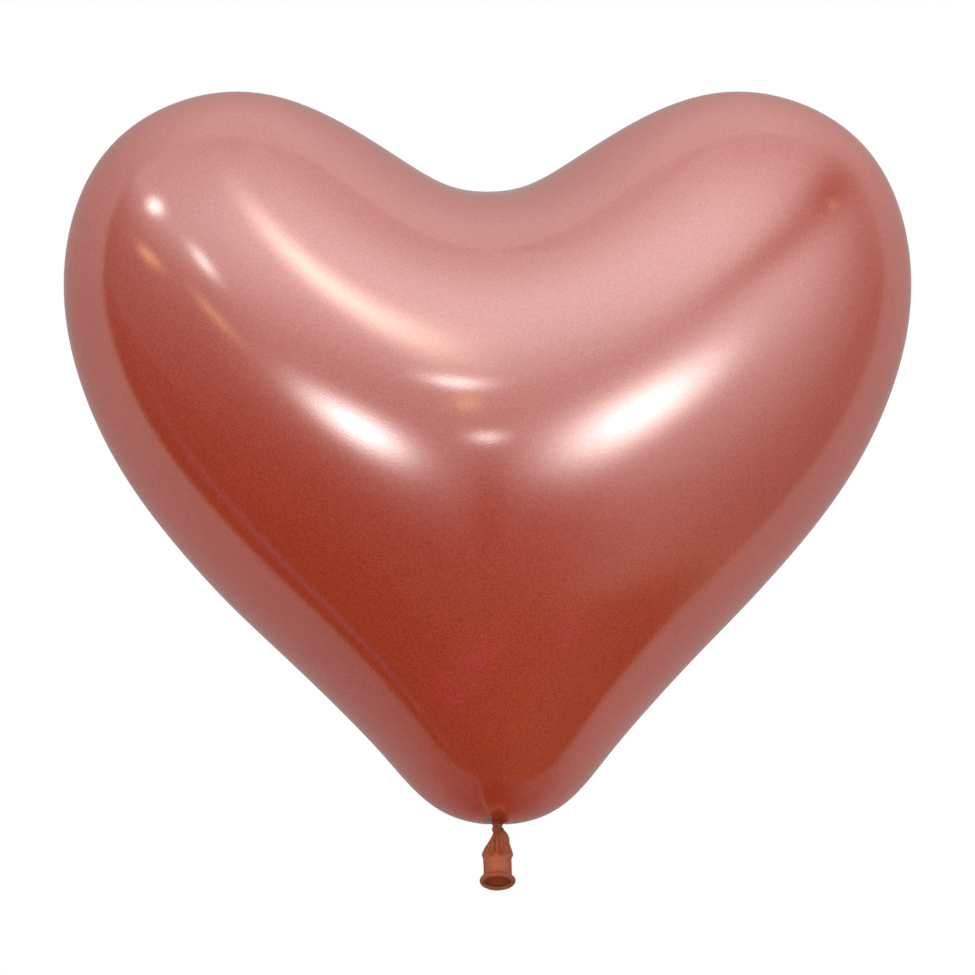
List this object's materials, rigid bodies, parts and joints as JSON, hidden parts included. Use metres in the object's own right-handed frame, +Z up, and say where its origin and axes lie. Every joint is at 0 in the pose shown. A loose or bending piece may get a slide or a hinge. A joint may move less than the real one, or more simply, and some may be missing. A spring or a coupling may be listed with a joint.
{
  "type": "heart-shaped latex balloon",
  "caption": "Inflated heart-shaped latex balloon with a chrome finish, tied off at a knotted neck that ends in a rolled lip.",
  "frame": {"origin": "centre of the throat's lower face, in the waist between the heart and the knot, where a ribbon is tied", "axes": "+Z up through the heart to its cleft, +X to the right across the two lobes, and the front of the heart faces -Y"},
  "size_m": [0.3544, 0.1958, 0.3342],
  "materials": {
    "chrome_latex": "stretched latex with a rose-gold chrome finish, satin mirror",
    "neck_latex": "unstretched copper-brown latex, matt"
  },
  "bodies": {
    "heart": {"envelope": "chrome_latex", "throat": "neck_latex"},
    "knot": {"knot_core": "neck_latex", "knot_loop": "neck_latex"},
    "tail": {"neck_tail": "neck_latex", "rolled_lip": "neck_latex"}
  },
  "joints": [
    {"name": "knot_tilt", "type": "hinge", "parent": "heart", "child": "knot", "pos_m": [0, 0, -0.00285], "axis": [1, 0, 0], "range_deg": [-28, 84], "stiffness_Nm_per_rad": 0.0015},
    {"name": "tail_sway", "type": "hinge", "parent": "knot", "child": "tail", "pos_m": [0, 0, -0.00285], "axis": [0, 0.8829, -0.4695], "range_deg": [-45, 45], "stiffness_Nm_per_rad": 0.0015}
  ]
}
